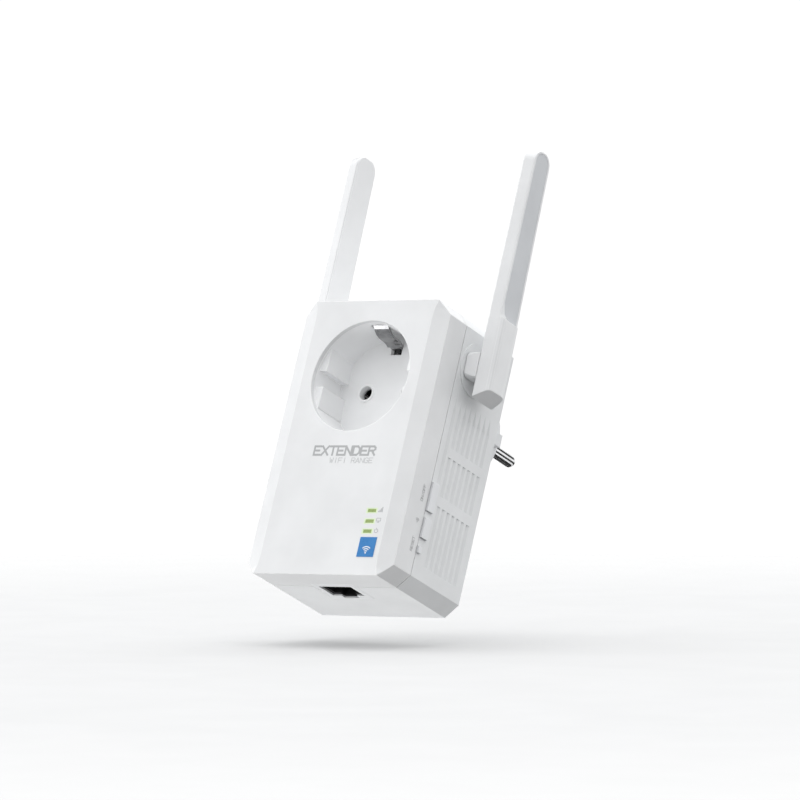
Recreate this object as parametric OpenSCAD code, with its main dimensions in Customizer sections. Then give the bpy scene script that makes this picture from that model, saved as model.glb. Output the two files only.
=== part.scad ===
// Plug-in wifi range extender with a pass-through mains socket, two swivelling
// antennas, one network port, three status lights and three side buttons.
//
// Every module is drawn in the housing's own coordinates: X to the right, Y from
// the front face backwards, Z up from the underside. seat() then moves the whole
// device so that the origin is the middle of the plug's front face, where the
// device meets a wall socket: +Y runs along the mains pins and +Z is up.

/* [Housing] */
// Width of the housing
body_w = 66; // [62:0.5:72]
// Height of the housing
body_h = 107.6; // [102:0.2:116]
// Depth of the housing, front face to back face
body_d = 45.6; // [44:0.2:50]
// Cut across the four long corners of the housing
corner = 5; // [3.5:0.5:6]
// Depth of the front shell, where the parting line runs
seam_y = 13.3; // [12.8:0.1:13.8]
// Thickness of the housing walls
wall = 2; // [1.8:0.1:2.2]
// Width of the sloping shoulder beside the front face
shoulder_w = 6.4; // [4:0.2:7]
// How far the shoulder falls back at the side
shoulder_d = 2.3; // [1:0.1:3]

/* [Mains] */
// Height of the socket and plug axis above the underside
socket_z = 77.8; // [77:0.2:79]
// Radius of the socket well
well_r = 21.8; // [21.2:0.1:22.2]
// Depth of the well floor behind the front face
well_d = 18; // [17.5:0.1:18.5]
// Distance between the two mains pins
pin_pitch = 19; // [19:1:19]
// Radius of a mains pin
pin_r = 2.4; // [2.4:0.1:2.4]
// Free length of a mains pin
pin_len = 19; // [18.5:0.1:19.5]
// Length of the plug in front of the back face
plug_len = 25.6; // [24:0.2:28]
// Radius of the plug
plug_r = 18.4; // [18:0.1:18.6]
// Half the width of the plug across its flats
plug_flat = 17.2; // [16.8:0.1:17.4]

/* [Antennas] */
// Height of the antenna pivot above the underside
pivot_z = 89.2; // [87:0.1:90]
// Depth of the antenna pivot behind the front face
pivot_y = 25; // [24.5:0.5:26]
// Gap between the housing side and the antenna blade
hub_len = 5.2; // [4.5:0.1:6]
// Width of the antenna's neck where it meets the housing
neck_w = 16.5; // [15:0.5:19]
// Height of the antenna's neck
neck_h = 10.1; // [9:0.1:11]
// How far the antennas lean forward of upright, in degrees
antenna_lean = 1; // [0:0.5:3]
// Height of the antenna tip above the underside
antenna_top = 175.8; // [150:1:190]
// Width of the antenna at its base
antenna_w = 14; // [13:0.2:15]
// Width of the antenna near its tip
antenna_tip_w = 12.4; // [11:0.2:13]
// Thickness of the antenna at its base
antenna_t = 6.2; // [5.8:0.1:7]
// Thickness of the antenna blade
blade_t = 4.6; // [4.4:0.1:5]

/* [Controls] */
// How far each button stands out of the side
button_proud = 0.9; // [0.5:0.1:1.2]
// Side clearance around each button
button_gap = 0.2; // [0.15:0.05:0.3]

/* [Vents] */
// Distance between two vent columns
vent_pitch = 3.22; // [3:0.02:3.3]
// Width of a vent slot
vent_w = 0.45; // [0.4:0.05:0.6]
// Width of the sloping side of each louvre
louvre_w = 1.6; // [1.2:0.1:1.9]

/* [Hidden] */
$fn = 96;

half_w = body_w / 2;
in_w = half_w - wall;
seam_gap = 0.3;
front_end = seam_y - seam_gap / 2;
rear_start = seam_y + seam_gap / 2;
lip_d = 1.6;
lip_t = 1;
lip_gap = 0.1;

plug_end = body_d + plug_len;
plug_flange_y = 41;
pin_root = plug_flange_y - 1.9;
pin_stem_r = pin_r - 0.5;
half_pitch = pin_pitch / 2;
sleeve_r = 3.4;
sleeve_bore = 2.45;
sleeve_end = 38;
busbar_t = 1;
holder_r = 4.5;
spring_half = 3.4;
arm_half = 2.2;
arm_z = 17.4;
arm_t = 0.8;

board_t = 1.6;
main_board_y = 9;
main_back = main_board_y + board_t;
power_board_y = 36;
board_half = 29;
board_low = 4.5;
main_board_top = 51;
power_board_top = 50;
screw_x = 25.5;
screw_low = 8.5;
screw_high = 99;
post_r = 3;
tube_r = 3.6;
head_r = 2.7;
shank_r = 1.45;
head_seat = 18;

port_half = 9.55;
port_y0 = 10.95;
port_y1 = 26.1;
port_fit = 0.15;
bezel_t = 0.7;
jack_z0 = bezel_t + 0.1;
jack_half = 5.95;
jack_y0 = 13.6;
jack_y1 = 21.9;
latch_half = 3.2;
latch_y1 = 24.4;
jack_depth = 12.5;

led_x = 19.5;
led_half_w = 1.82;
led_half_h = 0.62;
signal_z = 24.9;
lan_z = 20.8;
power_z = 16.9;

button_y0 = 13.6;
button_y1 = 17.3;
power_span = [30.2, 41.2];
pairing_span = [19.8, 27.5];
reset_span = [13.9, 16.4];
reset_y1 = 15.3;
louvre_d = 0.55;
flange_out = in_w - 0.1;
flange_t = 1.2;

collar_r = 10.4;
collar_t = 0.35;
hub_x0 = half_w + collar_t + 0.3;
blade_x = half_w + hub_len;
shaft_r = 4;
shaft_fit = 0.06;
shaft_bore = 1.6;
shaft_end = half_w - 6.4;
bearing_x = in_w - 2;
washer_t = 0.7;
clip_t = 0.8;
groove_r = 3.25;
flat_z0 = 107.8;
flat_round = 5.5;
antenna_low = pivot_z - 12.7;
tip_round = 4.6;
bevel = 1.35;
panel_t = 0.9;
panel_rim = 0.75;
cable_r = 0.6;
cable_joint = 31;

white = "whitesmoke";
pale = "gainsboro";
metal = "silver";
board_green = "seagreen";

// ------------------------------------------------------------ placing helpers
module seat() translate([0, -plug_end, -socket_z]) children();

module along_y(y0, y1)
    translate([0, y1, 0]) rotate([90, 0, 0]) linear_extrude(y1 - y0) children();

module along_x(x0, x1)
    translate([x0, 0, 0]) rotate([90, 0, 90]) linear_extrude(x1 - x0) children();

module rod_y(x, z, r, y0, y1)
    translate([x, y0, z]) rotate([-90, 0, 0]) cylinder(r = r, h = y1 - y0);

module rod_x(y, z, r, x0, x1)
    translate([x0, y, z]) rotate([0, 90, 0]) cylinder(r = r, h = x1 - x0);

module block(x0, x1, y0, y1, z0, z1)
    translate([x0, y0, z0]) cube([x1 - x0, y1 - y0, z1 - z0]);

module both_sides() {
    children();
    mirror([1, 0, 0]) children();
}

// A closed skin through rings of points, each ring with the same count
module loft(rings) {
    n = len(rings[0]);
    last = len(rings) - 1;
    points = [for (r = rings) for (p = r) p];
    sides = [for (k = [0 : last - 1], i = [0 : n - 1]) let (j = (i + 1) % n, a = k * n)
        each [[a + j, a + i, a + n + j], [a + n + j, a + i, a + n + i]]];
    caps = [[for (i = [0 : n - 1]) i], [for (i = [n - 1 : -1 : 0]) last * n + i]];
    polyhedron(points, concat(sides, caps), convexity = 4);
}

// ------------------------------------------------------------ housing
// The outline of the housing seen from the front, drawn in by t
module outline(t = 0) {
    x = half_w - t;
    low = t;
    top = body_h - t;
    c = corner - t * (2 - sqrt(2));
    polygon([[c - x, low], [x - c, low], [x, low + c], [x, top - c],
        [x - c, top], [c - x, top], [-x, top - c], [-x, low + c]]);
}

// What the sloping shoulder takes off one side; its inner edge swings out to
// the corner cut at both ends
module shoulder_cut() {
    crease = half_w - shoulder_w;
    flare = half_w - corner;
    reach = 1.5;
    slope = shoulder_d / shoulder_w;
    stations = [[-1, flare + 0.4], [0, flare], [3.3, crease + 0.35], [7, crease],
        [body_h - 7, crease], [body_h - 3.3, crease + 0.35], [body_h, flare],
        [body_h + 1, flare + 0.4]];
    loft([for (s = stations) [
        [s[1], -2, s[0]],
        [half_w + reach, -2, s[0]],
        [half_w + reach, shoulder_d + slope * reach, s[0]],
        [s[1], 0, s[0]]]]);
}

module port_cut(z0, z1)
    block(-port_half - port_fit, port_half + port_fit,
        port_y0 - port_fit, port_y1 + port_fit, z0, z1);

module each_case_screw()
    for (x = [-screw_x, screw_x], z = [screw_low, screw_high])
        translate([x, 0, z]) children();

module front_shell() {
    color(white) seat() {
        difference() {
            along_y(0, front_end) outline();
            both_sides() shoulder_cut();
            difference() {
                along_y(wall, front_end + 1) outline(wall);
                both_sides() translate([0, wall, 0]) shoulder_cut();
            }
            rod_y(0, socket_z, well_r, -1, wall + 1);
            port_cut(-1, wall + 1);
            for (z = [signal_z, lan_z, power_z])
                block(led_x - led_half_w - 0.1, led_x + led_half_w + 0.1, -1, wall + 1,
                    z - led_half_h - 0.1, z + led_half_h + 0.1);
        }
        each_case_screw() difference() {
            rod_y(0, 0, post_r, wall - 0.2, main_board_y - 0.05);
            rod_y(0, 0, 1.2, wall + 1, main_board_y + 1);
        }
    }
}

// Cross-section of one louvre in the right wall: a slope running back from its
// deepest line, and the slot that goes through the wall there
module louvre_section(y, through) {
    edge = y + vent_w / 2;
    polygon([[half_w - louvre_d, y - vent_w / 2], [half_w + louvre_d, y - vent_w / 2],
        [half_w + louvre_d, edge + louvre_w * 2], [half_w - louvre_d, edge]]);
    if (through)
        translate([in_w - 1, y - vent_w / 2]) square([wall + 2, vent_w]);
}

// A louvre that is open up to one height and above it fades out as a groove
module louvre(y, low, open_to, fade) {
    step = 0.08;
    inset = 0.05;
    overlap = 0.4;
    translate([0, 0, low]) linear_extrude(open_to - low) louvre_section(y, true);
    if (fade > 0)
        translate([half_w + step, 0, open_to]) rotate([0, asin(louvre_d / fade), 0])
            translate([-half_w, 0, -overlap])
                linear_extrude(fade + overlap) louvre_section(y + inset, false);
}

module vents() {
    first_y = 20.2;
    columns = 7;
    bands = [[10.5, 34.2, 0], [38, 53.3, 0], [56.8, 70, 6.6]];
    for (i = [0 : columns - 1], b = bands)
        louvre(first_y + i * vent_pitch, b[0], b[1], b[2]);
    louvre(first_y - vent_pitch * 1.1, power_span[1] + 0.6, 70, 10);
}

module button_opening(span, y1)
    block(in_w - 1, half_w + 1, rear_start - 1, y1 + button_gap,
        span[0] - button_gap, span[1] + button_gap);

module rear_shell() {
    lip_out = wall + lip_gap;
    color(white) seat() difference() {
        union() {
            difference() {
                along_y(rear_start, body_d) outline();
                along_y(rear_start - 1, body_d - wall) outline(wall);
            }
            difference() {
                union() {
                    along_y(rear_start - lip_d, rear_start + 1) outline(lip_out);
                    along_y(rear_start, rear_start + lip_t) outline(wall - 0.3);
                }
                along_y(rear_start - lip_d - 1, rear_start + 2) outline(lip_out + lip_t);
            }
            each_case_screw() difference() {
                rod_y(0, 0, tube_r, main_back + 0.05, body_d - 1);
                rod_y(0, 0, head_r + 0.25, head_seat, body_d + 1);
            }
            for (x = [-screw_x, screw_x])
                rod_y(x, power_board_top - 4, post_r,
                    power_board_y + board_t + 0.05, body_d - 1);
            both_sides() {
                rod_x(pivot_y, pivot_z, collar_r, half_w - 0.5, half_w + collar_t);
                rod_x(pivot_y, pivot_z, shaft_r + 2.6, bearing_x, in_w + 0.5);
            }
        }
        both_sides() {
            vents();
            rod_x(pivot_y, pivot_z, shaft_r + shaft_fit, bearing_x - 1, half_w + 1);
        }
        rod_y(0, socket_z, plug_r + 0.25, body_d - wall - 1, body_d + 1);
        port_cut(-1, wall + lip_gap + lip_t + 1);
        button_opening(power_span, button_y1);
        button_opening(pairing_span, button_y1);
        button_opening(reset_span, reset_y1);
        block(in_w - 2, in_w, rear_start - lip_d - 1, rear_start + lip_t + 0.5,
            reset_span[0] - 1.6, power_span[1] + 1.6);
        each_case_screw() {
            rod_y(0, 0, head_r + 0.25, head_seat, body_d + 1);
            rod_y(0, 0, shank_r + 0.15, main_back - 1, head_seat + 1);
        }
        for (x = [-screw_x, screw_x])
            rod_y(x, power_board_top - 4, 1.05, power_board_y, body_d - wall - 0.5);
    }
}

// ------------------------------------------------------------ mains socket
// A guide block down one side of the well, slotted for the plug's rib
module guide_block() {
    chord = 18.3;
    front = 3.1;
    half_slot = 3.1;
    half_span = 11.5;
    intersection() {
        rod_y(0, socket_z, well_r + 0.5, front, well_d + 0.5);
        for (s = [-1, 1])
            block(chord, half_w, front, well_d + 0.5,
                socket_z + s * (half_span + half_slot) / 2 - (half_span - half_slot) / 2,
                socket_z + s * (half_span + half_slot) / 2 + (half_span - half_slot) / 2);
    }
}

module socket_well() {
    floor_t = 2;
    tube_out = well_r + 1.6;
    pocket_half = 4;
    pocket_y = 4.2;
    pocket_z = 24;
    color(white) seat() difference() {
        union() {
            difference() {
                union() {
                    rod_y(0, socket_z, tube_out, wall + 0.05, well_d + floor_t);
                    rod_y(0, socket_z, tube_out + 1.3, wall + 0.05, wall + 1.9);
                    block(-pocket_half - 1.2, pocket_half + 1.2, pocket_y - 1.2,
                        well_d + floor_t, socket_z - pocket_z - 1.3,
                        socket_z + pocket_z + 1.3);
                }
                rod_y(0, socket_z, well_r, 0, well_d);
            }
            both_sides() guide_block();
            for (x = [-half_pitch, half_pitch]) {
                rod_y(x, socket_z, 3.5, well_d - 0.5, well_d + 0.5);
                rod_y(x, socket_z, holder_r, well_d + 0.5, 30);
            }
        }
        for (x = [-half_pitch, half_pitch]) {
            rod_y(x, socket_z, 2.75, well_d - 1, well_d + floor_t + 1);
            rod_y(x, socket_z, sleeve_r + 0.05, well_d + floor_t + 0.2, 31);
        }
        block(-pocket_half, pocket_half, pocket_y, well_d,
            socket_z - pocket_z, socket_z + pocket_z);
        for (s = [-1, 1])
            block(-arm_half - 0.25, arm_half + 0.25, well_d - 1, well_d + floor_t + 1,
                socket_z + s * arm_z - 2.1, socket_z + s * arm_z + 2.1);
    }
}

// Side view of one earth spring: out of its pocket in the well's wall, over the
// hump that grips a plug, and back through the floor
module earth_spring_profile() {
    end_y = plug_flange_y - 0.4;
    inner = [[4.6, 23.6], [5.2, 22], [6.1, 20.9], [7.9, 19.6], [10.1, 18.8],
        [13.4, 18.7], [15.4, 18.3], [17, arm_z], [end_y, arm_z]];
    outer = [[end_y, arm_z + arm_t], [17.3, arm_z + arm_t], [15.7, 19.1], [13.5, 19.5],
        [10.4, 19.6], [8.4, 20.3], [6.8, 21.4], [6, 22.3], [5.5, 23.7]];
    polygon(concat(inner, outer));
}

module earth_strap() {
    color(metal) seat() translate([0, 0, socket_z]) difference() {
        union() {
            for (s = [0, 1]) mirror([0, 0, s])
                along_x(-spring_half, spring_half) earth_spring_profile();
            block(-arm_half, arm_half, well_d + 2.4, well_d + 3.2,
                -arm_z - 0.4, arm_z + 0.4);
        }
        both_sides()
            block(arm_half, spring_half + 1, well_d - 1.5, plug_flange_y, -30, 30);
    }
}

// A pin sleeve with the flat bar that joins it to the plug pin and runs down
// to the mains board
module pin_contact(x) {
    foot_z = power_board_top - 5;
    seat() {
        difference() {
            rod_y(x, socket_z, sleeve_r, well_d + 2.35, sleeve_end + 0.2);
            rod_y(x, socket_z, sleeve_bore, well_d, sleeve_end - 0.8);
            block(x - sleeve_r - 1, x + sleeve_r + 1, well_d, 29,
                socket_z - 0.25, socket_z + 0.25);
        }
        block(x - 2.5, x + 2.5, sleeve_end, sleeve_end + busbar_t,
            foot_z, socket_z + 3.4);
        block(x - 2.5, x + 2.5, power_board_y + board_t + 0.03, sleeve_end + 0.1,
            foot_z, foot_z + 2);
    }
}

module live_contact() color("goldenrod") pin_contact(half_pitch);
module neutral_contact() color("goldenrod") pin_contact(-half_pitch);

// ------------------------------------------------------------ plug
module plug_body() {
    flange_r = 22;
    rib_half = 2.4;
    rib_x = 19.3;
    rib_end = plug_end - 3.7;
    recess = 16.9;
    color(white) seat() difference() {
        union() {
            rod_y(0, socket_z, flange_r, plug_flange_y, body_d - wall - 0.05);
            rod_y(0, socket_z, plug_r, plug_flange_y, body_d + 0.4);
            intersection() {
                union() {
                    rod_y(0, socket_z, plug_r, plug_flange_y, rib_end);
                    translate([0, rib_end, socket_z]) rotate([-90, 0, 0])
                        cylinder(r1 = plug_r, r2 = plug_r - 3.4, h = plug_end - rib_end);
                }
                block(-plug_flat, plug_flat, plug_flange_y - 1, plug_end + 1,
                    socket_z - plug_r - 1, socket_z + plug_r + 1);
            }
            both_sides()
                block(plug_flat - 1, rib_x, body_d + 0.05, rib_end,
                    socket_z - rib_half, socket_z + rib_half);
        }
        for (x = [-half_pitch, half_pitch]) {
            rod_y(x, socket_z, pin_stem_r + 0.03, plug_flange_y - 1, plug_end + 1);
            rod_y(x, socket_z, pin_r + 0.05, plug_end - 0.4, plug_end + 1);
        }
        rod_y(0, socket_z + 10, 3.05, plug_flange_y + 4, plug_end + 1);
        for (s = [-1, 1]) {
            block(-3.6, 3.6, body_d + 4, plug_end - 2,
                socket_z + s * (recess + 4) - 4, socket_z + s * (recess + 4) + 4);
            block(-3.6, 3.6, plug_flange_y - 1, body_d + 5,
                socket_z + s * (arm_z + 0.5) - 0.7, socket_z + s * (arm_z + 0.5) + 0.7);
        }
    }
}

// A round pin with a domed tip, a thinner stem inside the plug and a collar
// behind the plug's flange
module mains_pin(x) {
    tip = plug_end + pin_len;
    steps = 8;
    dome = [for (i = [0 : steps - 1]) let (a = 90 * i / steps)
        [pin_r * cos(a), tip - pin_r + pin_r * sin(a)]];
    seat() translate([x, 0, socket_z]) rotate([-90, 0, 0])
        rotate_extrude()
            polygon(concat([[0, pin_root], [3.3, pin_root], [3.3, plug_flange_y - 0.05],
                [pin_stem_r, plug_flange_y - 0.05], [pin_stem_r, plug_end - 0.05],
                [pin_r, plug_end - 0.05]], dome, [[0.35, tip], [0, tip]]));
}

module live_pin() color(metal) mains_pin(half_pitch);
module neutral_pin() color(metal) mains_pin(-half_pitch);

module plug_earth_contacts() {
    color(metal) seat() for (s = [-1, 1])
        translate([0, 0, socket_z + s * (arm_z + 0.4)])
            block(-3.4, 3.4, plug_flange_y - 0.35, plug_end - 2.3, -0.5, 0.5);
}

module earth_receptacle() {
    color(metal) seat() difference() {
        rod_y(0, socket_z + 10, 3, plug_flange_y + 4.05, plug_end - 0.4);
        rod_y(0, socket_z + 10, 2.45, plug_flange_y + 7, plug_end + 1);
    }
}

// ------------------------------------------------------------ mains board
module power_board() {
    color(board_green) seat() difference() {
        block(-board_half, board_half, power_board_y, power_board_y + board_t,
            board_low, power_board_top);
        for (x = [-screw_x, screw_x]) {
            rod_y(x, screw_low, tube_r + 0.3, power_board_y - 1, power_board_y + 3);
            rod_y(x, power_board_top - 4, 1.5, power_board_y - 1, power_board_y + 3);
        }
    }
}

tx_x = -12;
tx_z = 29;
tx_mid = 29.2;

module transformer_core() {
    color("dimgray") seat() translate([tx_x, tx_mid, tx_z]) difference() {
        block(-8, 8, -6.5, 6.5, -2.5, 2.5);
        for (s = [-1, 1])
            block(s * 4.1 - 1.8, s * 4.1 + 1.8, -4.4, 4.4, -3, 3);
    }
}

module transformer_winding() {
    color("gold") seat() translate([tx_x, tx_mid, tx_z]) difference() {
        block(-5.7, 5.7, -4.2, 4.2, -7, 7);
        block(-2.4, 2.4, -5, 5, -2.6, 2.6);
    }
}

// An electrolytic can standing on the mains board, with a crimped shoulder
module can(x, z, r, h) {
    top = power_board_y - 0.05;
    translate([x, 0, z]) difference() {
        rod_y(0, 0, r, top - h, top);
        difference() {
            rod_y(0, 0, r + 1, top - h + 1.4, top - h + 2);
            rod_y(0, 0, r - 0.35, top - h + 1, top - h + 3);
        }
    }
}

module input_capacitors()
    color("navy") seat() for (x = [13.2, 23]) can(x, 30, 4.5, 14);

module output_capacitors()
    color("darkslategray") seat() for (x = [-17.5, -10.6]) can(x, 11, 3.15, 8);

module mains_fuse() {
    color("tan") seat() {
        rod_x(32.6, 45, 2.2, -19, -5);
        for (x = [-20, -6])
            rod_x(32.6, 45, 2.7, x, x + 2);
        for (x = [-19.4, -5.4])
            block(x, x + 0.8, 32.6, power_board_y - 0.03, 44.4, 45.6);
    }
}

module surge_varistor() {
    color("royalblue") seat() {
        rod_x(31, 44, 4.4, 1, 4.4);
        for (z = [41.6, 46.4])
            block(2.4, 3, 31, power_board_y - 0.03, z - 0.3, z + 0.3);
    }
}

module mains_choke() {
    x = 15.8;
    z = 43.4;
    color("saddlebrown") seat() {
        rod_y(x, z, 4, 25, power_board_y - 0.1);
        rod_y(x, z, 5.2, 25, 26.2);
        rod_y(x, z, 5.2, 34.2, power_board_y - 0.05);
    }
}

module rectifier() {
    color("black") seat()
        block(3, 9.4, 33.2, power_board_y - 0.05, 22, 26.8);
}

// The four-wire header that joins the two boards
module board_link() {
    x = -23;
    color("ivory") seat() {
        block(x - 1.4, x + 1.4, main_back + 0.05, main_back + 3, 18, 30);
        for (i = [0 : 3])
            rod_y(x, 20 + i * 2.7, 0.5, main_back + 2.5, power_board_y - 0.05);
    }
}

module screw(x, z, head_y, tip_y, r_head, r_shank) {
    step = head_y < tip_y ? 1 : -1;
    translate([x, head_y, z]) rotate([-90 * step, 0, 0]) difference() {
        union() {
            cylinder(r = r_head, h = 1.8);
            cylinder(r = r_shank, h = abs(tip_y - head_y));
        }
        for (a = [0, 90]) rotate([0, 0, a])
            translate([-r_head * 0.6, -0.35, -1]) cube([r_head * 1.2, 0.7, 1.9]);
    }
}

module board_screws() {
    color(metal) seat() for (x = [-screw_x, screw_x])
        screw(x, power_board_top - 4, power_board_y - 1.85, 42.5, 2.5, 1);
}

// ------------------------------------------------------------ logic board
module main_board() {
    color(board_green) seat() difference() {
        block(-board_half, board_half, main_board_y, main_back,
            board_low, main_board_top);
        for (x = [-screw_x, screw_x])
            rod_y(x, screw_low, 1.7, main_board_y - 1, main_back + 1);
    }
}

module rf_shield() {
    y0 = 6.2;
    color(metal) seat() difference() {
        block(-15, 9, y0, main_board_y - 0.03, 22, 44);
        block(-14.7, 8.7, y0 + 0.3, main_board_y + 1, 22.3, 43.7);
        for (i = [0 : 4], j = [0 : 3])
            rod_y(-11 + i * 4, 27.5 + j * 4, 0.6, y0 - 1, y0 + 1);
    }
}

module wifi_chip()
    color("black") seat() block(-8, 2, 7.7, main_board_y - 0.05, 28, 38);

module memory_chip()
    color("black") seat() block(-26, -18, 7.9, main_board_y - 0.05, 28, 40);

module lan_magnetics()
    color("black") seat() block(-7, 7, main_back + 0.05, main_back + 5, 20, 29);

module ethernet_jack() {
    color("black") seat() difference() {
        union() {
            block(-8.1, 8.1, main_back + 0.05, port_y1 + 0.2, wall + 0.1, 17);
            block(-8.1, 8.1, port_y0 + 0.05, port_y1 - 0.1, jack_z0, wall + 0.2);
        }
        block(-jack_half, jack_half, jack_y0, jack_y1, 0, jack_z0 + jack_depth);
        block(-latch_half, latch_half, jack_y1 - 1, latch_y1, 0, jack_z0 + jack_depth);
    }
}

module jack_contacts() {
    color("gold") seat() for (i = [0 : 7])
        along_x(-3.57 + i * 1.02 - 0.18, -3.57 + i * 1.02 + 0.18)
            polygon([[jack_y0 + 0.05, 4.2], [jack_y0 + 0.35, 4.2],
                [jack_y0 + 2.7, 11.2], [jack_y0 + 2.4, 11.2],
                [jack_y0 + 0.35, 5.1], [jack_y0 + 0.05, 5.1]]);
}

// The thin frame around the port; its opening is wider than the jack's mouth
module port_bezel() {
    mouth_half = 7.25;
    mouth_y0 = 13.4;
    mouth_y1 = 23.2;
    latch_mouth = 3.5;
    latch_end = 25.4;
    color(white) seat() difference() {
        block(-port_half, port_half, port_y0, port_y1, 0, bezel_t);
        block(-mouth_half, mouth_half, mouth_y0, mouth_y1, -1, bezel_t + 1);
        block(-latch_mouth, latch_mouth, mouth_y1 - 1, latch_end, -1, bezel_t + 1);
    }
}

module status_leds()
    color("limegreen") seat() for (z = [signal_z, lan_z, power_z])
        block(led_x - 0.8, led_x + 0.8, 8.2, main_board_y - 0.05, z - 0.45, z + 0.45);

module light_guide(z) {
    color("palegreen") seat() {
        block(led_x - led_half_w, led_x + led_half_w, 0, wall + 0.2,
            z - led_half_h, z + led_half_h);
        block(led_x - led_half_w - 0.6, led_x + led_half_w + 0.6, wall + 0.1, wall + 0.9,
            z - led_half_h - 0.6, z + led_half_h + 0.6);
        block(led_x - 1.3, led_x + 1.3, wall + 0.8, 8.05,
            z - led_half_h, z + led_half_h);
    }
}

module signal_light_guide() light_guide(signal_z);
module lan_light_guide() light_guide(lan_z);
module power_light_guide() light_guide(power_z);

// ------------------------------------------------------------ buttons
// A cap in the side wall, with the flange that keeps it in and the stem that
// reaches the switch
module button(span, y1, stem_y, stem_r, tip_x) {
    mid = (span[0] + span[1]) / 2;
    seat() {
        block(flange_out - 0.3, half_w + button_proud, button_y0, y1, span[0], span[1]);
        block(flange_out - flange_t, flange_out, button_y0 - 0.4, y1 + 0.8,
            span[0] - 0.7, span[1] + 0.7);
        rod_x(stem_y, mid, stem_r, tip_x, flange_out - 0.5);
    }
}

module switch_body(span, x0, x1, y1, half_h, stem_y, hole_r) {
    mid = (span[0] + span[1]) / 2;
    seat() difference() {
        block(x0, x1, main_back + 0.05, y1, mid - half_h, mid + half_h);
        rod_x(stem_y, mid, hole_r, x0 + 1, x1 + 1);
    }
}

module power_button() color(white) button(power_span, button_y1, 15, 1.6, 25);
module pairing_button() color(white) button(pairing_span, button_y1, 14.4, 1.3, 25.6);
module reset_button() color(white) button(reset_span, reset_y1, 14.4, 1, 25.6);

module power_switch() color("dimgray")
    switch_body(power_span, 17, 26, 18.9, 4.2, 15, 1.8);
module pairing_switch() color("dimgray")
    switch_body(pairing_span, 22.4, 26.4, 17.2, 3, 14.4, 1.5);
module reset_switch() color("dimgray")
    switch_body(reset_span, 22.4, 26.4, 16.6, 2.2, 14.4, 1.2);

// ------------------------------------------------------------ antennas
module leaning()
    translate([0, pivot_y, pivot_z]) rotate([antenna_lean, 0, 0])
        translate([0, -pivot_y, -pivot_z]) children();

// Cross-section of the antenna at height z: flat inner face, sides that slope
// in by the bevel, rounded outer corners
function side_points(w, t) = let (
        e = 0.5, corner_y = bevel * (t - e) / (t - 0.6 - e),
        round_len = min(2.4, 0.6 * (w - corner_y)),
        run = [t - e, corner_y], back = run * round_len / norm(run))
    [[0, w - e], [e, w], for (u = [0 : 0.25 : 1])
        [t - back[0] * (1 - u) * (1 - u),
            w - corner_y + back[1] * (1 - u) * (1 - u) - round_len * u * u]];

function antenna_ring(z, w, t) = let (side = side_points(w, t), n = len(side)) [
    for (p = side) [blade_x + p[0], pivot_y - p[1], z],
    for (i = [n - 1 : -1 : 0]) [blade_x + side[i][0], pivot_y + side[i][1], z]];

function tip_rings() = [for (a = [0 : 15 : 75])
    antenna_ring(antenna_top - tip_round + tip_round * sin(a),
        antenna_tip_w / 2 - tip_round + tip_round * cos(a),
        antenna_t - 0.5 * (1 - cos(a)))];

// Outline of the flat on the outer face, drawn in by t
module flat_outline(t) {
    w0 = antenna_w / 2 + 1;
    polygon([[pivot_y - w0 + t * 3, flat_z0 + flat_round + t],
        for (a = [0 : 15 : 75])
            [pivot_y - w0 + t * 3 + flat_round * (1 - cos(a)),
                flat_z0 + flat_round * (1 - sin(a)) + t],
        [pivot_y - w0 + t * 3 + flat_round, flat_z0 + t],
        [pivot_y + w0 - t * 3, flat_z0 + t],
        [pivot_y + w0 - t * 3, antenna_top + 1 - t],
        [pivot_y - w0 + t * 3, antenna_top + 1 - t]]);
}

// Outline of the cover panel in the blade's flat
module panel_outline(t) {
    low = flat_z0 + panel_rim + t;
    top = antenna_top - panel_rim - t;
    w0 = antenna_w / 2 - bevel - panel_rim - t;
    w1 = antenna_tip_w / 2 - bevel - panel_rim - t;
    r = w1 - 0.4;
    polygon([[pivot_y - w0, low + flat_round], [pivot_y - w0 + 1.4, low + 1.6],
        [pivot_y - w0 + 4, low], [pivot_y + w0, low],
        for (a = [0 : 15 : 90])
            [pivot_y + w1 - r + r * cos(a), top - r + r * sin(a)],
        for (a = [90 : 15 : 180])
            [pivot_y - w1 + r + r * cos(a), top - r + r * sin(a)]]);
}

module antenna() {
    cavity_x = blade_x + 1.1;
    channel_r = 1;
    seat() leaning() difference() {
        loft(concat([antenna_ring(antenna_low - 1, antenna_w / 2, antenna_t),
            antenna_ring(flat_z0, antenna_w / 2, antenna_t)], tip_rings()));
        along_x(blade_x + blade_t, blade_x + antenna_t + 1) flat_outline(0);
        along_x(blade_x + blade_t - panel_t, blade_x + antenna_t + 1) panel_outline(0);
        block(cavity_x, blade_x + blade_t - panel_t + 0.1, pivot_y - 3.2, pivot_y + 3.2,
            flat_z0 + 3, antenna_top - 6);
        rod_x(pivot_y, pivot_z, channel_r, blade_x - 1, blade_x + 2.2);
        translate([blade_x + 2.2, pivot_y, pivot_z - channel_r])
            cylinder(r = channel_r, h = flat_z0 + 4 - pivot_z);
        translate([blade_x, 0, antenna_low]) rotate([0, -30, 0])
            block(-6, 16, pivot_y - 9, pivot_y + 9, -9, 0);
    }
}

module antenna_panel()
    seat() leaning() along_x(blade_x + blade_t - panel_t + 0.03, blade_x + blade_t - 0.05)
        panel_outline(0.06);

module radiator() {
    x = blade_x + 1.6;
    seat() leaning() difference() {
        block(x, x + 0.8, pivot_y - 2.8, pivot_y + 2.8, flat_z0 + 4, antenna_top - 8);
        block(x - 1, x + 2, pivot_y - 0.4, pivot_y + 0.4, flat_z0 + 12, antenna_top - 20);
    }
}

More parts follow.
